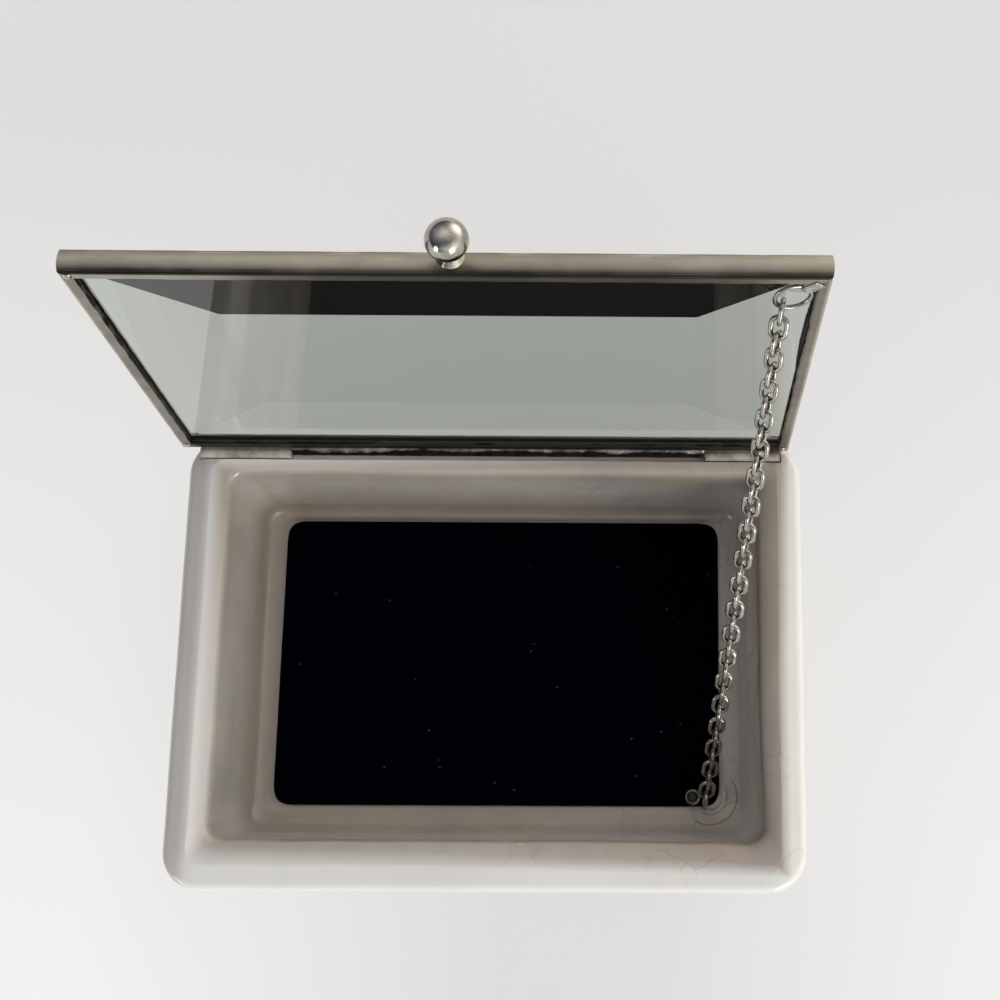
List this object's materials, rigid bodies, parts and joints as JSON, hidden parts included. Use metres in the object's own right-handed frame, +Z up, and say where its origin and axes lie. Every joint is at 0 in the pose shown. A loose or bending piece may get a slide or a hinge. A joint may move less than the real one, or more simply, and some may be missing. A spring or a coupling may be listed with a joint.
{
  "type": "trinket box",
  "caption": "Glazed ceramic tray box with a bevelled glass lid in metal came that swings up on a rod hinge, held open by a fine oval-link chain.",
  "frame": {"origin": "centre of the tray's flat base, on the surface it stands on", "axes": "+X to the right seen from the front, +Y to the rear (the hinge side), +Z up"},
  "size_m": [0.1581, 0.1286, 0.1605],
  "materials": {
    "glaze": "gloss",
    "card": "matte",
    "velvet": "matte",
    "glass": "polished",
    "came": "satin",
    "solder": "satin",
    "ball": "polished",
    "rod": "satin",
    "chain": "satin",
    "adhesive": "gloss"
  },
  "bodies": {
    "tray": {"tray": "glaze", "insert_card": "card", "velvet_pad": "velvet", "hinge_tube_left": "rod", "hinge_tube_right": "rod", "tube_adhesive_left": "adhesive", "tube_adhesive_right": "adhesive", "anchor_link": "chain", "anchor_glue": "adhesive"},
    "lid": {"lid_glass": "glass", "came_front": "came", "came_rear": "came", "came_left": "came", "came_right": "came", "corner_solder": "solder", "knob_collar": "came", "knob_ball": "ball", "hinge_rod": "rod", "rod_solder": "solder", "chain_loop": "chain", "loop_solder": "solder"},
    "chain_row_1": {"chain_1": "chain"},
    "chain_row_2": {"chain_2": "chain"},
    "chain_row_3": {"chain_3": "chain"},
    "chain_row_4": {"chain_4": "chain"},
    "chain_row_5": {"chain_5": "chain"},
    "chain_row_6": {"chain_6": "chain"},
    "chain_row_7": {"chain_7": "chain"},
    "chain_row_8": {"chain_8": "chain"},
    "chain_row_9": {"chain_9": "chain"}
  },
  "joints": [
    {"name": "lid_hinge", "type": "hinge", "parent": "tray", "child": "lid", "pos_m": [0, 0.052, 0.04217], "axis": [1, 0, 0], "range_deg": [0, 95.6]},
    {"name": "chain_turn_1", "type": "hinge", "parent": "lid", "child": "chain_row_1", "pos_m": [0.06574, 0.0607, 0.13695], "axis": [1, 0, 0], "range_deg": [-35.78, 0], "deforming": ["chain_1"]},
    {"name": "chain_turn_2", "type": "hinge", "parent": "chain_row_1", "child": "chain_row_2", "pos_m": [0.06349, 0.04126, 0.11087], "axis": [1, 0, 0], "range_deg": [0, 105.87], "deforming": ["chain_2"]},
    {"name": "chain_turn_3", "type": "hinge", "parent": "chain_row_2", "child": "chain_row_3", "pos_m": [0.06215, 0.02969, 0.09534], "axis": [1, 0, 0], "range_deg": [0, 119.62], "deforming": ["chain_3"]},
    {"name": "chain_turn_4", "type": "hinge", "parent": "chain_row_3", "child": "chain_row_4", "pos_m": [0.06179, 0.02655, 0.09114], "axis": [1, 0, 0], "range_deg": [-119.62, 0], "deforming": ["chain_4"]},
    {"name": "chain_turn_5", "type": "hinge", "parent": "chain_row_4", "child": "chain_row_5", "pos_m": [0.06046, 0.01498, 0.07561], "axis": [1, 0, 0], "range_deg": [-111.71, 0], "deforming": ["chain_5"]},
    {"name": "chain_turn_6", "type": "hinge", "parent": "chain_row_5", "child": "chain_row_6", "pos_m": [0.06009, 0.01184, 0.0714], "axis": [1, 0, 0], "range_deg": [-37.2, 0], "deforming": ["chain_6"]},
    {"name": "chain_turn_7", "type": "hinge", "parent": "chain_row_6", "child": "chain_row_7", "pos_m": [0.05876, 0.00027, 0.05588], "axis": [1, 0, 0], "range_deg": [-16.53, 0], "deforming": ["chain_7"]},
    {"name": "chain_turn_8", "type": "hinge", "parent": "chain_row_7", "child": "chain_row_8", "pos_m": [0.0584, -0.00286, 0.05167], "axis": [1, 0, 0], "range_deg": [-111, 0], "deforming": ["chain_8"]},
    {"name": "chain_turn_9", "type": "hinge", "parent": "chain_row_8", "child": "chain_row_9", "pos_m": [0.05649, -0.01934, 0.02957], "axis": [1, 0, 0], "range_deg": [0, 133.71], "deforming": ["chain_9"]}
  ],
  "couplings": [
    {"joint": "chain_turn_1", "follows": "lid_hinge", "ratio": -0.37426},
    {"joint": "chain_turn_2", "follows": "lid_hinge", "ratio": 1.1074},
    {"joint": "chain_turn_3", "follows": "lid_hinge", "ratio": 1.2512},
    {"joint": "chain_turn_4", "follows": "lid_hinge", "ratio": -1.2512},
    {"joint": "chain_turn_5", "follows": "lid_hinge", "ratio": -1.1684},
    {"joint": "chain_turn_6", "follows": "lid_hinge", "ratio": -0.38904},
    {"joint": "chain_turn_7", "follows": "lid_hinge", "ratio": -0.17291},
    {"joint": "chain_turn_8", "follows": "lid_hinge", "ratio": -1.161},
    {"joint": "chain_turn_9", "follows": "lid_hinge", "ratio": 1.3986}
  ]
}
